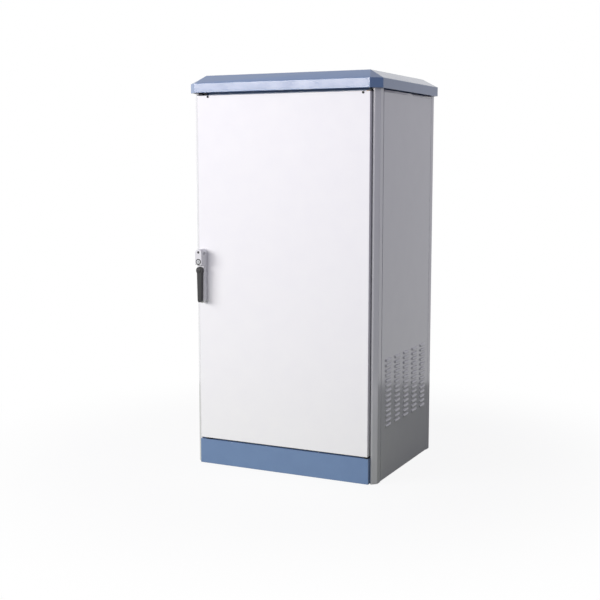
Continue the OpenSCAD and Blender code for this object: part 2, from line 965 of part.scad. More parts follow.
module earth_insulators() {
    color("firebrick")
        for (side = [-1, 1])
            translate([side * (earth_l / 2 - insulator_r), rail_y - bar_w, floor_top + bar_h / 2])
                rotate([90, 0, 0])
                    cylinder(r = insulator_r, h = earth_off);
}

module earth_bolts() {
    color("silver")
        earth_places()
            translate([0, -earth_off, floor_top + bar_h / 2])
                rotate([90, 0, 0]) {
                    translate([0, 0, -bolt_head_t])
                        cylinder(r = bolt_r, h = earth_t + bolt_head_t);
                    translate([0, 0, earth_t])
                        cylinder(r = bolt_head_r, h = bolt_head_t, $fn = 6);
                }
}

// Plate that reaches forward from a land, with a tab against the land that stands up or hangs down
module bracket(x, z, hanging) {
    translate([x - bracket_w / 2, 0, z]) {
        translate([0, bracket_front, 0])
            cube([bracket_w, bracket_reach, bracket_t]);
        translate([0, land_y - bracket_t, hanging ? bracket_t - bracket_tab : 0])
            cube([bracket_w, bracket_t, bracket_tab]);
    }
}

module hinge_bracket(z, hanging) {
    color(zinc)
        difference() {
            bracket(bracket_x, z, hanging);
            translate([pivot[0], pivot[1], z - cut])
                cylinder(r = pivot_r + run_fit, h = bracket_t + 2 * cut);
        }
}

module hinge_bracket_upper() { hinge_bracket(upper_bracket_z, false); }
module hinge_bracket_lower() { hinge_bracket(lower_bracket_z, true); }

// Pivot pins, held by the brackets and reaching into the door's bushes
module hinge_pin_upper() {
    low = panel_top - bush_l + thrust;
    color("silver")
        translate([pivot[0], pivot[1], low])
            cylinder(r = pivot_r, h = upper_bracket_z + bracket_t - low);
}

module hinge_pin_lower() {
    color("silver")
        translate([pivot[0], pivot[1], lower_bracket_z])
            cylinder(r = pivot_r, h = door_z + bush_l - thrust - lower_bracket_z);
}

// Flanged bush that stands in the door, its thrust rim outside
module bush() {
    rotate_extrude()
        polygon([
            [pivot_r + run_fit, -thrust], [bush_r + bush_rim, -thrust], [bush_r + bush_rim, 0],
            [bush_r, 0], [bush_r, bush_l], [pivot_r + run_fit, bush_l]
        ]);
}

module hinge_bush_upper() {
    color("goldenrod")
        translate([pivot[0], pivot[1], panel_top])
            mirror([0, 0, 1])
                bush();
}

module hinge_bush_lower() {
    color("goldenrod")
        translate([pivot[0], pivot[1], door_z])
            bush();
}

// Keepers with a slot for the tip of a latch rod, closed all round by a pad
module keeper(x, z, rod_x, hanging) {
    pad_w = rod_w + 2 * (slip + keeper_wall);
    pad_d = rod_y + rod_t + slip + keeper_wall - bracket_front;
    color(zinc)
        difference() {
            union() {
                bracket(x, z, hanging);
                translate([rod_x - pad_w / 2, bracket_front, z])
                    cube([pad_w, pad_d, bracket_t]);
            }
            translate([rod_x - rod_w / 2 - slip, rod_y - slip, z - cut])
                cube([rod_w + 2 * slip, rod_t + 2 * slip, bracket_t + 2 * cut]);
        }
}

module keeper_upper() { keeper(-bracket_x, upper_bracket_z, lock_x - rod_off, false); }
module keeper_lower() { keeper(lock_x + rod_off, lower_bracket_z, lock_x + rod_off, true); }

module door_skin() {
    color(paint_white)
        difference() {
            translate([0, door_y, door_z])
                edge_tray(door_w, door_depth, door_h, door_flange);
            for (z = [door_z, panel_top])
                translate([pivot[0], pivot[1], z])
                    cylinder(r = bush_r + run_fit, h = 2 * (sheet_t + cut), center = true);
            for (end = [[-rod_off, panel_top], [rod_off, door_z]])
                translate([lock_x + end[0] - rod_w / 2 - slip, rod_y - slip, end[1] - sheet_t - cut])
                    cube([rod_w + 2 * slip, rod_t + 2 * slip, 2 * (sheet_t + cut)]);
            translate([lock_x, door_y - cut, lock_z])
                rotate([-90, 0, 0])
                    cylinder(r = spindle_r + slip, h = sheet_t + 2 * cut);
        }
}

// Hat sections on the inside of the door's face
module door_stiffeners() {
    ends = door_flange + guide_near;
    crown = stiffener_w / 4;
    slope = crown / 2;
    path = [
        [-stiffener_w / 2, 0], [-crown - slope, 0], [-crown, stiffener_d], [crown, stiffener_d],
        [crown + slope, 0], [stiffener_w / 2, 0]
    ];
    color(paint_white)
        for (side = [-1, 1])
            translate([side * stiffener_x, door_inner, door_z + ends])
                linear_extrude(door_h - 2 * ends)
                    polygon(folded(path, sheet_t));
}

// Foam strip round the door's inner flange, facing the sealing lips
module door_seal() {
    low = seal_in - seal_w / 2;
    high = seal_in + seal_w / 2;
    color(rubber_black)
        difference() {
            translate([-door_w / 2 + low, door_back, door_z + low])
                cube([door_w - 2 * low, lip_y - door_back - soft_gap, door_h - 2 * low]);
            translate([-door_w / 2 + high, door_back - cut, door_z + high])
                cube([door_w - 2 * high, lip_y - door_back + 2 * cut, door_h - 2 * high]);
        }
}

// Blanking plugs in the door's face under the eaves
module door_plugs() {
    plug_r = 4.5;
    plug_left = 46;
    plug_right = 28;
    plug_down = 5;
    plug_out = 3;
    color(rubber_black)
        for (x = [-door_w / 2 + plug_left, door_w / 2 - plug_right])
            translate([x, door_y, panel_top - plug_down])
                rotate([90, 0, 0])
                    intersection() {
                        cylinder(r = plug_r, h = plug_out);
                        translate([0, 0, plug_out - 2 * plug_r])
                            sphere(r = 2 * plug_r);
                    }
}

// Guides of a latch rod, standing on the inside of the door's face
module rod_guides() {
    depth = rod_y + rod_t + guide_wall - door_inner;
    upper = [lock_top + guide_near, (lock_z + panel_top) / 2 + guide_near, panel_top - guide_near];
    lower = [lock_z - lock_below, door_z + guide_near];
    places = concat(
        [for (z = upper) [lock_x - rod_off, z]],
        [for (z = lower) [lock_x + rod_off, z]]
    );
    color(black_plastic)
        for (p = places)
            translate([p[0], door_inner, p[1] - guide_h / 2])
                difference() {
                    translate([-guide_w / 2, 0, 0])
                        cube([guide_w, depth, guide_h]);
                    translate([-rod_w / 2 - soft_gap, rod_y - door_inner - soft_gap, -cut])
                        cube([rod_w + 2 * soft_gap, rod_t + 2 * soft_gap, guide_h + 2 * cut]);
                }
}

// Cast housing: a long body with a deeper head, round at both ends seen from the front
module lock_housing() {
    side_view = [
        [0, -lock_below], [lock_d - head_nose / 2, -lock_below], [lock_d, -lock_below + head_nose],
        [lock_d, head_z - lock_z - head_nose / 2], [head_d, head_z - lock_z],
        [head_d, lock_above - head_nose], [head_d - head_nose / 3, lock_above - head_nose / 3],
        [head_d - head_nose, lock_above], [0, lock_above]
    ];
    color(zinc)
        difference() {
            translate([lock_x, door_y, lock_z])
                intersection() {
                    rotate([90, 0, -90])
                        linear_extrude(lock_w, center = true)
                            polygon(side_view);
                    rotate([90, 0, 0])
                        linear_extrude(head_d)
                            lock_outline();
                }
            translate([lock_x, door_y + cut, lock_z])
                rotate([90, 0, 0])
                    cylinder(r = spindle_r + run_fit, h = lock_d + 2 * cut);
            translate([lock_x, door_y - head_d + key_l, key_z])
                rotate([90, 0, 0])
                    cylinder(r = key_r + run_fit, h = key_l + cut);
            translate([lock_x, door_y - eye_out, lock_top - eye_down])
                rotate([0, 90, 0])
                    cylinder(r = eye_r, h = lock_w + 2 * cut, center = true);
        }
}

module lock_outline() {
    end_r = lock_w / 2;
    for (z = [lock_above - end_r, -lock_below + end_r])
        translate([0, z])
            circle(r = end_r);
    translate([-end_r, -lock_below + end_r])
        square([lock_w, lock_below + lock_above - lock_w]);
}

// Lever with a round boss, a tapering grip and a crowned front
module lock_lever() {
    tip_r = tip_w / 2;
    tip_z = tip_r - lever_l;
    lean = asin((grip_w / 2 - tip_r) / -tip_z);
    neck = acos(grip_w / 2 / boss_r);
    outline = concat(
        arc(boss_r, -neck, 180 + neck),
        [for (q = arc(tip_r, 180 - lean, 360 + lean)) q + [0, tip_z]]
    );
    crown = asin(boss_r / crown_r);
    section = concat(
        [[boss_r, 0]],
        [for (q = arc(crown_r, 90 - crown, 90 + crown)) q - [0, crown_r - lever_t]],
        [[-boss_r, 0]]
    );
    color(black_plastic)
        translate([lock_x, lever_back, lock_z])
            difference() {
                intersection() {
                    rotate([90, 0, 0])
                        linear_extrude(lever_t)
                            polygon(outline);
                    translate([0, 0, -lever_l])
                        linear_extrude(lever_l + boss_r)
                            mirror([0, 1])
                                polygon(section);
                }
                rotate([90, 0, 0])
                    translate([0, 0, -cut])
                        cylinder(r = neck_r + run_fit, h = lever_t + 2 * cut);
            }
}

// Domed cap over the end of the spindle
module lever_cap() {
    color(black_plastic)
        translate([lock_x, lever_front, lock_z])
            rotate([90, 0, 0])
                rotate_extrude()
                    polygon(concat([[0, 0]], quarter(cap_r, cap_t)));
}

// Turned spindle: neck for the lever, bearing in the housing, collar behind the door's face, cam seat
module lock_spindle() {
    bearing = door_inner + slip - lever_back;
    shoulder = cam_y - lever_back;
    color("silver")
        translate([lock_x, lever_back, lock_z])
            rotate([-90, 0, 0])
                rotate_extrude()
                    polygon([
                        [0, -lever_t], [neck_r, -lever_t], [neck_r, slip], [spindle_r, slip],
                        [spindle_r, bearing], [collar_r, bearing], [collar_r, bearing + collar_t],
                        [spindle_r, bearing + collar_t], [spindle_r, shoulder],
                        [neck_r, shoulder], [neck_r, shoulder + cam_t], [0, shoulder + cam_t]
                    ]);
}

// Cam plate with two studs, set at 45 degrees so that the rods' travel is nearly even with the turn
module lock_cam() {
    color(zinc)
        translate([lock_x, cam_y, lock_z])
            rotate([-90, 0, 0])
                difference() {
                    union() {
                        cylinder(r = neck_r + cam_t, h = cam_t);
                        for (a = [swing, swing + 180])
                            rotate([0, 0, a]) {
                                translate([0, -cam_r, 0])
                                    cube([throw_r, 2 * cam_r, cam_t]);
                                translate([throw_r, 0, 0])
                                    cylinder(r = cam_end_r, h = cam_t);
                                translate([throw_r, 0, 0])
                                    cylinder(r = stud_r, h = cam_t + stud_l);
                            }
                    }
                    translate([0, 0, -cut])
                        cylinder(r = neck_r + run_fit, h = cam_t + 2 * cut);
                }
}

// Key cylinder in the head, with its slot
module key_cylinder() {
    color("silver")
        translate([lock_x, door_y - head_d + key_l - soft_gap, key_z])
            rotate([90, 0, 0])
                difference() {
                    cylinder(r = key_r, h = key_l - soft_gap + key_proud);
                    translate([-key_slot_w / 2, -key_slot_l / 2, key_l / 2])
                        cube([key_slot_w, key_slot_l, key_l]);
                }
}

// Flat latch rod with a slotted head that rides on a stud; side is -1 left of the lever's axis, 1 right
module latch_rod(side, stud_z, tip_z) {
    low = min(stud_z, tip_z);
    slot_x = min(side * slot_left, side * slot_right);
    color(zinc)
        translate([lock_x, rod_y, 0])
            rotate([90, 0, 0])
                translate([0, 0, -rod_t])
                    linear_extrude(rod_t)
                        difference() {
                            union() {
                                translate([side * rod_off - rod_w / 2, low])
                                    square([rod_w, abs(tip_z - stud_z)]);
                                translate([slot_x - slot_wall, stud_z - rod_head_h / 2])
                                    square([slot_right - slot_left + 2 * slot_wall, rod_head_h]);
                            }
                            translate([slot_x, stud_z - slot_half])
                                square([slot_right - slot_left, 2 * slot_half]);
                        }
}

module rod_upper() { latch_rod(-1, lock_z + throw_z, rod_top); }
module rod_lower() { latch_rod(1, lock_z - throw_z, rod_foot); }

base_frame();
floor_plate();
cable_grommets();
post_front_left();
post_front_right();
post_rear_left();
post_rear_right();
top_frame();
top_plate();
roof_brackets();
roof_nuts();
roof_hood();
side_panel_left();
side_panel_right();
filter_frame_left();
filter_frame_right();
filter_left();
filter_right();
rear_panel();
plinth_cover();
rack_rail_front_left();
rack_rail_front_right();
rack_rail_rear_left();
rack_rail_rear_right();
rack_cross_bars();
fan_housing_left();
fan_housing_right();
fan_rotor_left();
fan_rotor_right();
fan_guard_left();
fan_guard_right();
earth_bar();
earth_insulators();
earth_bolts();
hinge_bracket_upper();
hinge_bracket_lower();
hinge_pin_upper();
hinge_pin_lower();
keeper_upper();
keeper_lower();
door_skin();
door_stiffeners();
door_seal();
door_plugs();
hinge_bush_upper();
hinge_bush_lower();
rod_guides();
lock_housing();
lock_lever();
lever_cap();
lock_spindle();
lock_cam();
key_cylinder();
rod_upper();
rod_lower();
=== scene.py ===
# %% [markdown]
# # A roadside equipment cabinet, dressed in Blender
# A cabinet like this stands beside a road and keeps rack equipment dry. It is folded from steel sheet:
# four corner posts, a white door, louvred sides and a bevelled hood that shades open eaves.
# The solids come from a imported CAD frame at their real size. This lesson gives them a studio, soft
# edges and the finishes of the real pieces, and adds the small fasteners that the solids leave out.

# %% Load the frame
import json
import math

import bpy
import numpy as np
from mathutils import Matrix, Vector


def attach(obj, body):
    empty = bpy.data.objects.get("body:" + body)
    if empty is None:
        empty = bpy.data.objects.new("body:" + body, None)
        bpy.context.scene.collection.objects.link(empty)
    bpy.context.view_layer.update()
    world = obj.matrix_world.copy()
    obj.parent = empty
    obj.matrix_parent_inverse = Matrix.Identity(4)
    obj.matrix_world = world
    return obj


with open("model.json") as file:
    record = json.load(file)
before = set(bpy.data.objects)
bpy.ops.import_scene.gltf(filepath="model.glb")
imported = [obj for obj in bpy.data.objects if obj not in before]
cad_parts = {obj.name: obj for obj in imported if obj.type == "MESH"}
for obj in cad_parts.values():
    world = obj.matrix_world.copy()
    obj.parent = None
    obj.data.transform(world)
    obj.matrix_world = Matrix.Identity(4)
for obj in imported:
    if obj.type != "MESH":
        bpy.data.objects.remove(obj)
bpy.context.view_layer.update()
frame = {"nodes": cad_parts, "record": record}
nodes = frame["nodes"]
MM = 0.001

# %% [markdown]
# ## Camera
# The viewing angle was found by fitting a pinhole camera to the cabinet's corners: the lens stands
# a little below the hood, so its bevel shows but its flat top doesn't. A lens given in pixels
# becomes millimetres through the sensor's width.

# %% Camera
FRAME_PX = 600
FOCAL_PX = 1094.1
SENSOR_MM = 36.0
CAMERA_TURN = math.radians(25.92)
CAMERA_TILT = math.radians(-7.24)
CAMERA_PLACE = Vector((1.9334, -4.1414, 1.2442))

lens = bpy.data.cameras.new("camera")
lens.sensor_width = SENSOR_MM
lens.lens = SENSOR_MM * FOCAL_PX / FRAME_PX
lens.clip_end = 100.0
camera = bpy.data.objects.new("camera", lens)
gaze = Vector((
    -math.sin(CAMERA_TURN) * math.cos(CAMERA_TILT),
    math.cos(CAMERA_TURN) * math.cos(CAMERA_TILT),
    math.sin(CAMERA_TILT),
))
camera.location = CAMERA_PLACE
camera.rotation_euler = gaze.to_track_quat("-Z", "Y").to_euler()
bpy.context.collection.objects.link(camera)
bpy.context.scene.camera = camera
bpy.context.scene.view_settings.view_transform = "Standard"
print(f"lens {lens.lens:.1f} mm")

# %% [markdown]
# ## Colours and nodes
# Colours are written as sRGB hex values, as a paint chart gives them, and one function turns them to
# the linear values that the renderer works with. A second small function adds a shader node, sets its
# options and joins its sockets, so that a finish reads as a list of what it is made of.

# %% Colour and node helpers
def linear(hex_colour):
    """An sRGB hex value as linear red, green, blue and alpha: each channel follows the sRGB curve."""
    srgb = np.array([int(hex_colour[k:k + 2], 16) for k in (1, 3, 5)]) / 255
    curve = np.where(srgb <= 0.04045, srgb / 12.92, ((srgb + 0.055) / 1.055) ** 2.4)
    return (*curve, 1.0)


def add(tree, kind, sockets=None, **settings):
    """Adds one shader node; a socket given as a value is set, and one given as an output is joined."""
    node = tree.nodes.new("ShaderNode" + kind)
    for key, value in settings.items():
        setattr(node, key, value)
    for key, value in (sockets or {}).items():
        if isinstance(value, bpy.types.NodeSocket):
            tree.links.new(value, node.inputs[key])
        else:
            node.inputs[key].default_value = value
    return node


def new_material(name):
    """An empty node material and its tree."""
    material = bpy.data.materials.new(name)
    material.use_nodes = True
    material.node_tree.nodes.clear()
    return material, material.node_tree


# %% [markdown]
# ## Studio
# The cabinet stands on a pale floor in an empty white room. A broad soft lamp at the front left lights
# the door, and a second one straight ahead keeps the lock's shadow light. The louvred side gets only the
# light of the room and the gloss of its paint. A strip lamp stands where the hood's skirt mirrors it,
# which is what makes the skirt shine.
# The room is white for what the eye and the gloss see, and dim for what lights the paint, so that the
# whites keep their shape.

# %% Room
ROOM_AMBIENT = 0.36

world = bpy.data.worlds.new("room")
world.use_nodes = True
bpy.context.scene.world = world
room = world.node_tree
room.nodes.clear()
path = add(room, "LightPath").outputs
seen = add(room, "Math", {0: path["Is Camera Ray"], 1: path["Is Glossy Ray"]}, operation="MAXIMUM")
seen = add(room, "Math", {0: seen.outputs[0], 1: path["Is Transmission Ray"]}, operation="MAXIMUM")
dim = add(room, "Background", {"Color": linear("#ece8fb"), "Strength": ROOM_AMBIENT})
white = add(room, "Background", {"Color": linear("#ffffff"), "Strength": 1.0})
both = add(room, "MixShader", {0: seen.outputs[0], 1: dim.outputs[0], 2: white.outputs[0]})
add(room, "OutputWorld", {"Surface": both.outputs[0]})

# %% Lamps
def soft_lamp(name, turn, distance, height, aim, size, watts, colour):
    """A rectangular lamp at an azimuth round the cabinet, with 0 at the front and 90 on the right."""
    data = bpy.data.lights.new(name, "AREA")
    data.shape = "RECTANGLE"
    data.size, data.size_y = size
    data.energy = watts
    data.color = linear(colour)[:3]
    lamp = bpy.data.objects.new(name, data)
    turn = math.radians(turn)
    lamp.location = (distance * math.sin(turn), -distance * math.cos(turn), height)
    lamp.rotation_euler = (Vector(aim) - lamp.location).to_track_quat("-Z", "Y").to_euler()
    bpy.context.collection.objects.link(lamp)
    return lamp


DOOR_MIDDLE = (0, -0.33, 0.8)
SKIRT_LEFT = (-0.6, -0.35, 1.55)
LAMP_REACH = 9.0
SOFT_BOX = (4.8, 3.6)
STRIP = (2.4, 0.21)
key_lamp = soft_lamp("key_lamp", -46, LAMP_REACH, 2.8, DOOR_MIDDLE, SOFT_BOX, 495, "#fffefb")
fill_lamp = soft_lamp("fill_lamp", -13, LAMP_REACH, 2.6, DOOR_MIDDLE, SOFT_BOX, 170, "#fdfdff")
for lamp in (key_lamp, fill_lamp):
    lamp.visible_glossy = False
soft_lamp("skirt_lamp", -25, 4.14, 1.845, SKIRT_LEFT, STRIP, 24, "#fff6ee")
print("3 lamps placed")

# %% Floor
FLOOR_R = 1.85
FLOOR_RINGS = 48
FLOOR_SPOKES = 96
FADE_START = 0.75
FADE_END = 0.98 * FLOOR_R
GLOW_SHARE = 0.90


def disc(radius, rings, spokes):
    """Points and faces of a flat disc: the radius grows evenly from ring to ring, the angle from spoke
    to spoke, and a fan of triangles closes the middle."""
    r = np.linspace(0, radius, rings + 1)[1:, None]
    a = np.linspace(0, 2 * np.pi, spokes, endpoint=False)[None, :]
    rim = np.stack([r * np.cos(a), r * np.sin(a), 0 * r * a], -1).reshape(-1, 3)
    k = np.arange(rings - 1)[:, None] * spokes + np.arange(spokes)[None, :]
    turn = np.roll(k, -1, 1)
    quads = np.stack([k, k + spokes, turn + spokes, turn], -1).reshape(-1, 4)
    first = np.arange(spokes)
    fan = np.stack([np.full(spokes, len(rim)), first, np.roll(first, -1)], -1)
    return np.vstack([rim, [[0, 0, 0]]]), [quads, fan]


def new_piece(name, points, blocks, finish):
    """A smooth mesh object at the origin, from an array of points and arrays of faces."""
    mesh = bpy.data.meshes.new(name)
    mesh.from_pydata(points, [], [face for block in blocks for face in block.tolist()])
    mesh.polygons.foreach_set("use_smooth", np.ones(len(mesh.polygons), bool))
    mesh.materials.append(finish)
    mesh.update()
    piece = bpy.data.objects.new(name, mesh)
    bpy.context.collection.objects.link(piece)
    return piece


def floor_finish():
    """Pale studio floor: the eye sees it almost white with the cabinet's shadow, fading to the room's
    white at its rim; all other light sees a plain grey floor, which keeps the cabinet's foot darker."""
    material, tree = new_material("studio floor")
    place = add(tree, "TexCoord").outputs["Object"]
    reach = add(tree, "VectorMath", {0: place}, operation="LENGTH").outputs["Value"]
    fade = add(tree, "MapRange", {0: reach, 1: FADE_START, 2: FADE_END, 3: GLOW_SHARE, 4: 1.0},
               interpolation_type="SMOOTHSTEP").outputs[0]
    paper = add(tree, "BsdfDiffuse", {"Color": linear("#f4f4f6")}).outputs[0]
    glow = add(tree, "Emission", {"Color": linear("#ffffff"), "Strength": 1.0}).outputs[0]
    for_eye = add(tree, "MixShader", {0: fade, 1: paper, 2: glow}).outputs[0]
    for_light = add(tree, "BsdfDiffuse", {"Color": linear("#a8b092")}).outputs[0]
    eye = add(tree, "LightPath").outputs["Is Camera Ray"]
    mixed = add(tree, "MixShader", {0: eye, 1: for_light, 2: for_eye}).outputs[0]
    add(tree, "OutputMaterial", {"Surface": mixed})
    return material


floor = new_piece("floor", *disc(FLOOR_R, FLOOR_RINGS, FLOOR_SPOKES), floor_finish())
print(f"floor {2 * FLOOR_R:.1f} m across")

# %% [markdown]
# ## Black flag
# A photographer keeps a chamfer dark by standing a black card where it would mirror a white wall. The
# wall itself could be darker, but then every reflection would dim. This card stands to the right of the
# camera, and only the gloss of the paint sees it.

# %% Flag
FLAG_TURN = math.radians(68)
FLAG_REACH = 2.5
FLAG_HALF = 1.0
FLAG_TOP = 2.4


def flag_card(turn, reach, half, top, steps=4):
    """An upright card: its middle lies reach out along the azimuth, and a point goes up to half to either
    side of it and up to top high."""
    across, high = np.meshgrid(np.linspace(-half, half, steps), np.linspace(0, top, steps))
    x = reach * math.sin(turn) + across * math.cos(turn)
    y = -reach * math.cos(turn) + across * math.sin(turn)
    k = np.arange(steps * steps).reshape(steps, steps)
    faces = np.stack([k[:-1, :-1], k[:-1, 1:], k[1:, 1:], k[1:, :-1]], -1).reshape(-1, 4)
    return np.stack([x, y, high], -1).reshape(-1, 3), [faces]


black_card, card_tree = new_material("matt black card")
card_black = add(card_tree, "BsdfDiffuse", {"Color": linear("#1a1a1c")}).outputs[0]
add(card_tree, "OutputMaterial", {"Surface": card_black})
flag = new_piece("flag", *flag_card(FLAG_TURN, FLAG_REACH, FLAG_HALF, FLAG_TOP), black_card)
flag.visible_camera = flag.visible_diffuse = flag.visible_shadow = flag.visible_transmission = False
print(f"flag {2 * FLAG_HALF:.1f} by {FLAG_TOP:.1f} m")

# %% [markdown]
# ## Powder-coated sheet
# Powder coat is a baked polyester skin. Here it is glossy, with a fine orange peel about two
# millimetres across, and the sheet under it is never quite flat, so reflections bend a little over a
# hand's breadth. The peel is drawn somewhat coarser than life, or it would not show at this size.
# Paint also draws back from a fold and rounds it, so the finish softens the folds that stay sharp in the
# solids. Door, body and the blue trim are one kind of paint in three colours.

# %% Powder coat
PEEL = 2.6 * MM
RIPPLE = 240 * MM
CLOUD = 70 * MM
FOLD_R = 2.5 * MM


def powder_coat(name, colour, shade, roughness):
    """Semi-gloss polyester paint on folded sheet; shade is the colour of its faint clouds."""
    material, tree = new_material(name)
    place = add(tree, "TexCoord").outputs["Object"]
    cloud = add(tree, "TexNoise", {"Vector": place, "Scale": 1 / CLOUD, "Detail": 4.0}).outputs[0]
    tint = add(tree, "Mix", {0: cloud, 6: linear(colour), 7: linear(shade)}, data_type="RGBA").outputs[2]
    gloss = add(tree, "MapRange", {0: cloud, 1: 0.3, 2: 0.7, 3: roughness - 0.03, 4: roughness + 0.03})
    ripple = add(tree, "TexNoise", {"Vector": place, "Scale": 1 / RIPPLE, "Detail": 1.0}).outputs[0]
    fold = add(tree, "Bevel", {"Radius": FOLD_R}, samples=4).outputs[0]
    flow = add(tree, "Bump", {"Height": ripple, "Normal": fold, "Strength": 0.10, "Distance": 1.0 * MM})
    peel = add(tree, "TexNoise", {"Vector": place, "Scale": 1 / PEEL, "Detail": 2.0}).outputs[0]
    skin = add(tree, "Bump", {
        "Height": peel, "Normal": flow.outputs[0], "Strength": 0.12, "Distance": 0.05 * MM,
    })
    paint = add(tree, "BsdfPrincipled", {
        "Base Color": tint, "Roughness": gloss.outputs[0], "Normal": skin.outputs[0], "IOR": 1.5,
    })
    add(tree, "OutputMaterial", {"Surface": paint.outputs[0]})
    return material


door_white = powder_coat("white door powder coat", "#f2f2f5", "#eeeef3", 0.42)
body_grey = powder_coat("light grey body powder coat", "#d9dadd", "#d3d4d8", 0.15)
steel_blue = powder_coat("steel-blue trim powder coat", "#768fb6", "#6d85ac", 0.12)
lock_grey = powder_coat("silver-grey lock powder coat", "#dedee2", "#d7d7dc", 0.36)

# %% [markdown]
# ## Bare metals
# Inside, sheet and rods are zinc plated: a grey metal with soft clouds and fine lines along the way it
# was rolled. Hinge brackets and keepers are drawn as black zinc: painted shade, since they show in the
# shaded gap under the eaves and their black keeps that gap a dark line. Pins and screws are turned, so
# they are brighter. The earth bar is rolled brass and the hinge bushes are turned brass. A metal's colour
# is its reflection, so only its tint and roughness are set.

# %% Metals
def rolled_metal(name, colour, shade, roughness, line=1.2 * MM, stretch=(1, 1, 0.04)):
    """Plated or drawn metal; line is the width of its faint rolling lines, drawn coarse enough to show."""
    material, tree = new_material(name)
    place = add(tree, "TexCoord").outputs["Object"]
    along = add(tree, "Mapping", {"Vector": place, "Scale": stretch}).outputs[0]
    lines = add(tree, "TexNoise", {"Vector": along, "Scale": 1 / line, "Detail": 3.0}).outputs[0]
    cloud = add(tree, "TexNoise", {"Vector": place, "Scale": 1 / (25 * MM), "Detail": 3.0}).outputs[0]
    tint = add(tree, "Mix", {0: cloud, 6: linear(colour), 7: linear(shade)}, data_type="RGBA").outputs[2]
    wear = add(tree, "MapRange", {0: lines, 1: 0.25, 2: 0.75, 3: roughness - 0.07, 4: roughness + 0.07})
    groove = add(tree, "Bump", {"Height": lines, "Strength": 0.15, "Distance": 0.04 * MM}).outputs[0]
    metal = add(tree, "BsdfPrincipled", {
        "Base Color": tint, "Metallic": 1.0, "Roughness": wear.outputs[0], "Normal": groove,
    })
    add(tree, "OutputMaterial", {"Surface": metal.outputs[0]})
    return material


zinc_sheet = rolled_metal("zinc-plated sheet", "#c9cccf", "#aeb2b6", 0.36)
# Black zinc on the hinge brackets and keepers is painted shade for the gap under the eaves.
eaves_shade_zinc = rolled_metal("eaves-shade black zinc", "#4a4b50", "#38393d", 0.42, stretch=(1, 1, 1))
bright_steel = rolled_metal("turned steel", "#d4d5d8", "#c2c4c8", 0.24, stretch=(1, 1, 1))
bar_brass = rolled_metal("rolled brass", "#cba164", "#b68c52", 0.30, stretch=(0.04, 1, 1))
bush_brass = rolled_metal("turned brass", "#c9a468", "#b39158", 0.30, stretch=(1, 1, 1))

# %% [markdown]
# ## Plastics, rubber and the filter mat
# The lever and the fans are moulded in black glass-filled plastic with a spark-eroded grain. Grommets
# and plugs are matt rubber, the door's seal is foam with open cells, and the dust filter is a mat of
# loose fibres. All of them scatter light, so their grain goes into bump and roughness. The mat is also
# painted darker where its fibres lie low, as shade in the gaps between them.

# %% Moulded and soft finishes
def moulded(name, colour, roughness, grain, depth, pattern="TexNoise"):
    """A moulded finish: grain is the size of its surface pattern and depth the height of its bumps."""
    material, tree = new_material(name)
    place = add(tree, "TexCoord").outputs["Object"]
    pits = add(tree, pattern, {"Vector": place, "Scale": 1 / grain}).outputs[0]
    broad = add(tree, "TexNoise", {"Vector": place, "Scale": 1 / (20 * MM), "Detail": 2.0}).outputs[0]
    sheen = add(tree, "MapRange", {0: broad, 1: 0.3, 2: 0.7, 3: roughness - 0.05, 4: roughness + 0.05})
    skin = add(tree, "Bump", {"Height": pits, "Strength": 0.35, "Distance": depth}).outputs[0]
    body = add(tree, "BsdfPrincipled", {
        "Base Color": linear(colour), "Roughness": sheen.outputs[0], "Normal": skin, "IOR": 1.5,
    })
    add(tree, "OutputMaterial", {"Surface": body.outputs[0]})
    return material


def fibre_mat(name, colour, dark):
    """Filter mat: two sets of stretched noise cross each other as loose fibres, about a millimetre wide."""
    material, tree = new_material(name)
    place = add(tree, "TexCoord").outputs["Object"]
    fibres = []
    for turn in (0.6, -0.9):
        lay = add(tree, "Mapping", {"Vector": place, "Rotation": (turn, 0, 0), "Scale": (1, 1, 0.08)})
        fibres.append(add(tree, "TexNoise", {"Vector": lay.outputs[0], "Scale": 1 / (1.1 * MM)}).outputs[0])
    felt = add(tree, "Math", {0: fibres[0], 1: fibres[1]}, operation="MAXIMUM").outputs[0]
    # The mat is painted darker where the fibres lie low: painted shade in the gaps between them.
    depth = add(tree, "MapRange", {0: felt, 1: 0.35, 2: 0.75, 3: 0.0, 4: 1.0}).outputs[0]
    tint = add(tree, "Mix", {0: depth, 6: linear(dark), 7: linear(colour)}, data_type="RGBA").outputs[2]
    skin = add(tree, "Bump", {"Height": felt, "Strength": 0.8, "Distance": 0.6 * MM}).outputs[0]
    body = add(tree, "BsdfPrincipled", {"Base Color": tint, "Roughness": 0.95, "Normal": skin})
    add(tree, "OutputMaterial", {"Surface": body.outputs[0]})
    return material


black_nylon = moulded("moulded black nylon", "#323234", 0.42, 0.9 * MM, 0.05 * MM)
seal_foam = moulded("cellular foam seal", "#2c2d30", 0.88, 1.3 * MM, 0.4 * MM, "TexVoronoi")
black_rubber = moulded("moulded rubber", "#28292b", 0.66, 1.1 * MM, 0.05 * MM)
red_resin = moulded("moulded red resin", "#9c3a30", 0.40, 1.2 * MM, 0.04 * MM)
filter_felt = fibre_mat("non-woven filter mat", "#8a8d90", "#4c4f52")
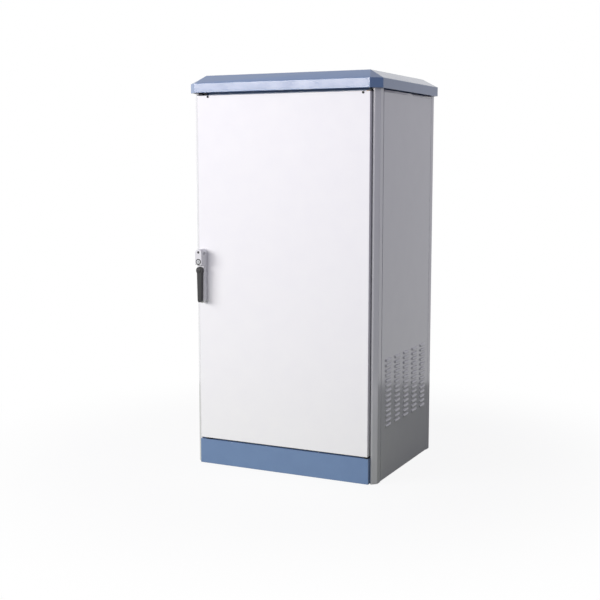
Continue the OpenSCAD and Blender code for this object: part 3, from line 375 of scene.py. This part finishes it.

# %% [markdown]
# ## Which piece has which finish
# A list from finish to pieces reads like a parts list, and one loop then hands each piece its material.
# The top frame is drawn blue like the hood: painted shade, which makes the gap under the eaves a dark line.

# %% Finishes by node
FINISH = {
    door_white: ["door_skin", "door_stiffeners"],
    body_grey: [
        "base_frame", "post_front_left", "post_front_right", "post_rear_left", "post_rear_right",
        "side_panel_left", "side_panel_right", "rear_panel",
    ],
    # The top frame's blue is painted shade for the line under the eaves.
    steel_blue: ["roof_hood", "plinth_cover", "top_frame"],
    lock_grey: ["lock_housing"],
    zinc_sheet: [
        "floor_plate", "top_plate", "roof_brackets", "filter_frame_left", "filter_frame_right",
        "rack_rail_front_left", "rack_rail_front_right", "rack_rail_rear_left", "rack_rail_rear_right",
        "rack_cross_bars", "lock_cam", "rod_upper", "rod_lower",
    ],
    # Hinge brackets and keepers are black as painted shade in the gap under the eaves.
    eaves_shade_zinc: ["hinge_bracket_upper", "hinge_bracket_lower", "keeper_upper", "keeper_lower"],
    bright_steel: [
        "roof_nuts", "earth_bolts", "hinge_pin_upper", "hinge_pin_lower", "lock_spindle",
        "key_cylinder", "fan_guard_left", "fan_guard_right",
    ],
    black_nylon: [
        "lock_lever", "lever_cap", "fan_housing_left", "fan_housing_right", "fan_rotor_left",
        "fan_rotor_right", "rod_guides",
    ],
    black_rubber: ["cable_grommets", "door_plugs"],
    seal_foam: ["door_seal"],
    filter_felt: ["filter_left", "filter_right"],
    bar_brass: ["earth_bar"],
    bush_brass: ["hinge_bush_upper", "hinge_bush_lower"],
    red_resin: ["earth_insulators"],
}
for finish, names in FINISH.items():
    for name in names:
        nodes[name].data.materials.clear()
        nodes[name].data.materials.append(finish)
print(f"{len(FINISH)} finishes on {sum(map(len, FINISH.values()))} nodes")

# %% [markdown]
# ## Soft edges
# No folded, cast or moulded edge is sharp, and the thin light that runs along an edge is what makes
# sheet look like sheet. A weld joins the loose triangles of a node, and a bevel rounds each
# edge by the radius that the real piece would have there.

# %% Edges
SHEET_EDGE = 1.3 * MM
CAST_EDGE = 1.6 * MM
FINE_EDGE = 0.5 * MM
SHARP = math.radians(38)


def soften(name, radius, segments=3):
    """Rounds a node's sharp edges by that radius, with a weld before it."""
    weld = nodes[name].modifiers.new("weld", "WELD")
    weld.merge_threshold = 0.01 * MM
    bevel = nodes[name].modifiers.new("edge", "BEVEL")
    bevel.width = radius
    bevel.segments = segments
    bevel.limit_method = "ANGLE"
    bevel.angle_limit = SHARP
    bevel.harden_normals = True


EDGES = {
    SHEET_EDGE: ["door_skin", "plinth_cover", "rear_panel", "roof_hood"],
    CAST_EDGE: ["lock_housing", "lock_lever"],
    FINE_EDGE: ["hinge_bracket_upper", "hinge_bracket_lower", "keeper_upper", "keeper_lower", "earth_bar"],
}
for radius, names in EDGES.items():
    for name in names:
        soften(name, radius)
print(f"edges rounded on {sum(map(len, EDGES.values()))} nodes")

# %% [markdown]
# ## Screws
# Brackets, keepers, fan guards and the floor plate are held by pan-head screws with a cross recess.
# A head could be modelled once and placed by hand, but it is a dome over a disc whose height depends
# only on the place on the disc, so all its points are worked out at once, and copies are turned to the
# faces that they clamp.

# %% Screw shapes
HEAD_SHARE = 0.45


def screw_head(radius, rise, rings=12, spokes=48):
    """A pan head: its height over a disc is rise times the root of 1 - r^4, less a recess where a point
    lies within either arm of a cross. A second fan closes its underside."""
    points, blocks = disc(radius, rings, spokes)
    x, y = np.abs(points[:, :2]).T / radius
    arm = np.clip((0.22 - np.minimum(x, y)) / 0.08, 0, 1) * np.clip((0.62 - np.maximum(x, y)) / 0.1, 0, 1)
    points[:, 2] = rise * (np.sqrt(np.clip(1 - np.hypot(x, y) ** 4, 0, None)) - 0.6 * arm)
    rim = (rings - 1) * spokes + np.arange(spokes)
    under = np.stack([np.full(spokes, len(points)), np.roll(rim, -1), rim], -1)
    return np.vstack([points, [[0, 0, 0]]]), blocks + [under]


def copies(shape, places, normal):
    """The shape at each place, its own axis turned to the normal by three unit vectors at right angles."""
    points, blocks = shape
    out = np.array(normal, float)
    side = np.cross([0, 0, 1] if abs(out[2]) < 0.9 else [1, 0, 0], out)
    basis = np.stack([side, np.cross(out, side), out])
    places = np.array(places)
    moved = (points @ basis)[None] + places[:, None]
    step = len(points) * np.arange(len(places))[:, None, None]
    return moved.reshape(-1, 3), [(block[None] + step).reshape(-1, block.shape[1]) for block in blocks]


def node_box(name):
    """Lowest and highest corner of a node."""
    corners = np.array(nodes[name].bound_box)
    return corners.min(0), corners.max(0)


def fasten(name, body, shape, places, normal, finish=bright_steel):
    """Copies of one small shape as a piece that rides on a body."""
    piece = new_piece(name, *copies(shape, places, normal), finish)
    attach(piece, body)
    print(name, len(places), "in place")


def screws(name, body, places, normal, radius):
    """Bright pan heads of one size on one body."""
    fasten(name, body, screw_head(radius, HEAD_SHARE * radius), places, normal)


# %% Screws in place
BRACKET_HALF = 9 * MM
BRACKET_T = 4 * MM
TAB_SCREW = 13 * MM
UPPER = [node_box(name) for name in ("hinge_bracket_upper", "keeper_upper")]
LOWER = [node_box(name) for name in ("hinge_bracket_lower", "keeper_lower")]
places = [(lo[0] + BRACKET_HALF, hi[1] - BRACKET_T, lo[2] + TAB_SCREW) for lo, hi in UPPER]
places += [(lo[0] + BRACKET_HALF, hi[1] - BRACKET_T, hi[2] - TAB_SCREW) for lo, hi in LOWER]
screws("bracket_screws", "cabinet", places, (0, -1, 0), 5.5 * MM)

GUARD_SCREW = 2.5 * MM
for side in ("left", "right"):
    lo, hi = node_box("fan_guard_" + side)
    middle, reach = (lo + hi) / 2, (hi - lo) / 2 - GUARD_SCREW
    places = [(middle[0] + x * reach[0], middle[1] + y * reach[1], lo[2]) for x in (-1, 1) for y in (-1, 1)]
    screws(f"fan_screws_{side}", "cabinet", places, (0, 0, -1), 4.5 * MM)

FLOOR_SCREW_X = 300 * MM
FLOOR_SCREW_IN = 6 * MM
lo, hi = node_box("floor_plate")
rows = (lo[1] + FLOOR_SCREW_IN, hi[1] - FLOOR_SCREW_IN)
places = [(k * FLOOR_SCREW_X, y, hi[2]) for k in (-1, 0, 1) for y in rows]
screws("floor_screws", "cabinet", places, (0, 0, 1), 4.5 * MM)

EARTH_SCREW_IN = 9 * MM
lo, hi = node_box("earth_bar")
places = [(x, lo[1], (lo[2] + hi[2]) / 2) for x in (lo[0] + EARTH_SCREW_IN, hi[0] - EARTH_SCREW_IN)]
screws("earth_screws", "cabinet", places, (0, -1, 0), 5 * MM)

# %% [markdown]
# ## Small parts of the lock
# The lock's fixing screw is blackened, and a thin moulded black ring keeps rain out of the gap round the
# key cylinder; its black also draws the arc of shade round the cylinder, as painted shade. A rolled steel
# eyelet lines each end of the hole for a padlock. Ring and eyelet are the same shape: a torus with a
# flattened section, where one angle runs round the hole and the other round the section.

# %% Lock screw
LOCK_SCREW_DOWN = 12 * MM
LOCK_SCREW_R = 5 * MM
LOCK_SCREW_RISE = 1.6 * MM
lock_lo, lock_hi = node_box("lock_housing")
lock_x = (lock_lo[0] + lock_hi[0]) / 2
place = (lock_x, lock_lo[1], lock_hi[2] - LOCK_SCREW_DOWN)
FORWARD = (0, -1, 0)
head = screw_head(LOCK_SCREW_R, LOCK_SCREW_RISE)
fasten("lock_screw", "door", head, [place], FORWARD, black_nylon)


# %% Key ring and padlock eyelets
def flat_ring(radius, half, rise, turns=64, steps=16):
    """A torus: the section's angle moves a point out by half and up by rise, the other angle goes round."""
    a = np.linspace(0, 2 * np.pi, turns, endpoint=False)[:, None]
    t = np.linspace(0, 2 * np.pi, steps, endpoint=False)[None, :]
    r = radius + half * np.cos(t)
    points = np.stack([r * np.cos(a), r * np.sin(a), rise * np.sin(t) + 0 * a], -1).reshape(-1, 3)
    k = np.arange(turns * steps).reshape(turns, steps)
    on, up = np.roll(k, -1, 0), np.roll(k, -1, 1)
    return points, [np.stack([k, on, np.roll(on, -1, 1), up], -1).reshape(-1, 4)]


KEY_RING_R = 10.2 * MM
KEY_RING_HALF = 1.7 * MM
KEY_RING_RISE = 1.0 * MM
key_lo, key_hi = node_box("key_cylinder")
place = (lock_x, lock_lo[1], (key_lo[2] + key_hi[2]) / 2)
ring = flat_ring(KEY_RING_R, KEY_RING_HALF, KEY_RING_RISE)
# The ring's black is partly painted shade: it draws the dark arc round the key cylinder.
fasten("key_ring", "door", ring, [place], FORWARD, black_nylon)

EYELET_OUT = 1.0 * MM
EYELET_HALF = 1.4 * MM
EYELET_RISE = 0.5 * MM
eye = next(mount for mount in frame["record"]["mounts"] if mount["name"] == "padlock_eye")
eyelet = flat_ring(eye["dims"]["r_mm"] * MM + EYELET_OUT, EYELET_HALF, EYELET_RISE)
reach = eye["dims"]["length_mm"] / 2 * MM
for side, sign in (("left", -1), ("right", 1)):
    place = np.array(eye["pos_m"]) + (sign * reach, 0, 0)
    fasten(f"eyelet_{side}", "door", eyelet, [place], (sign, 0, 0))

# %% [markdown]
# ## Eaves strips
# Seen from the road, a side panel seems to run up to the hood, and only a thin dark gap for air is left
# under the skirt. A strip of the same sheet stands on the panel's upper fold and closes the step there.
# It could be a thin box, but sheet is cut with soft edges, so a flat section with a half round at each
# long edge is carried along the panel.

# %% Eaves strips
AIR_GAP = 3 * MM
STRIP_T = 1.5 * MM


def edge_strip(face, low, high, start, end, thick, steps=9):
    """A strip along y: its section is two half circles of its own thickness, joined by straight sides,
    and each end is one flat face."""
    r = thick / 2
    t = np.linspace(0, np.pi, steps)
    top = np.stack([r * np.cos(t), high - r + r * np.sin(t)], -1)
    foot = np.stack([-r * np.cos(t), low + r - r * np.sin(t)], -1)
    x, z = np.vstack([top, foot]).T
    points = np.concatenate([np.stack([face + x, 0 * x + y, z], -1) for y in (start, end)])
    k = np.arange(len(x))
    on = np.roll(k, -1)
    walls = np.stack([k, k + len(x), on + len(x), on], -1)
    return points, [walls, k[None], (k + len(x))[None, ::-1]]


outer = node_box("post_front_right")[1][0] - STRIP_T / 2
lo, hi = node_box("side_panel_right")
roof = node_box("roof_hood")[0][2] - AIR_GAP
for side, sign in (("left", -1), ("right", 1)):
    strip = edge_strip(sign * outer, hi[2] - STRIP_T / 2, roof, lo[1], hi[1], STRIP_T)
    piece = new_piece(f"eaves_strip_{side}", *strip, body_grey)
    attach(piece, "cabinet")
print(f"eaves strips {1000 * (roof - hi[2]):.1f} mm high")
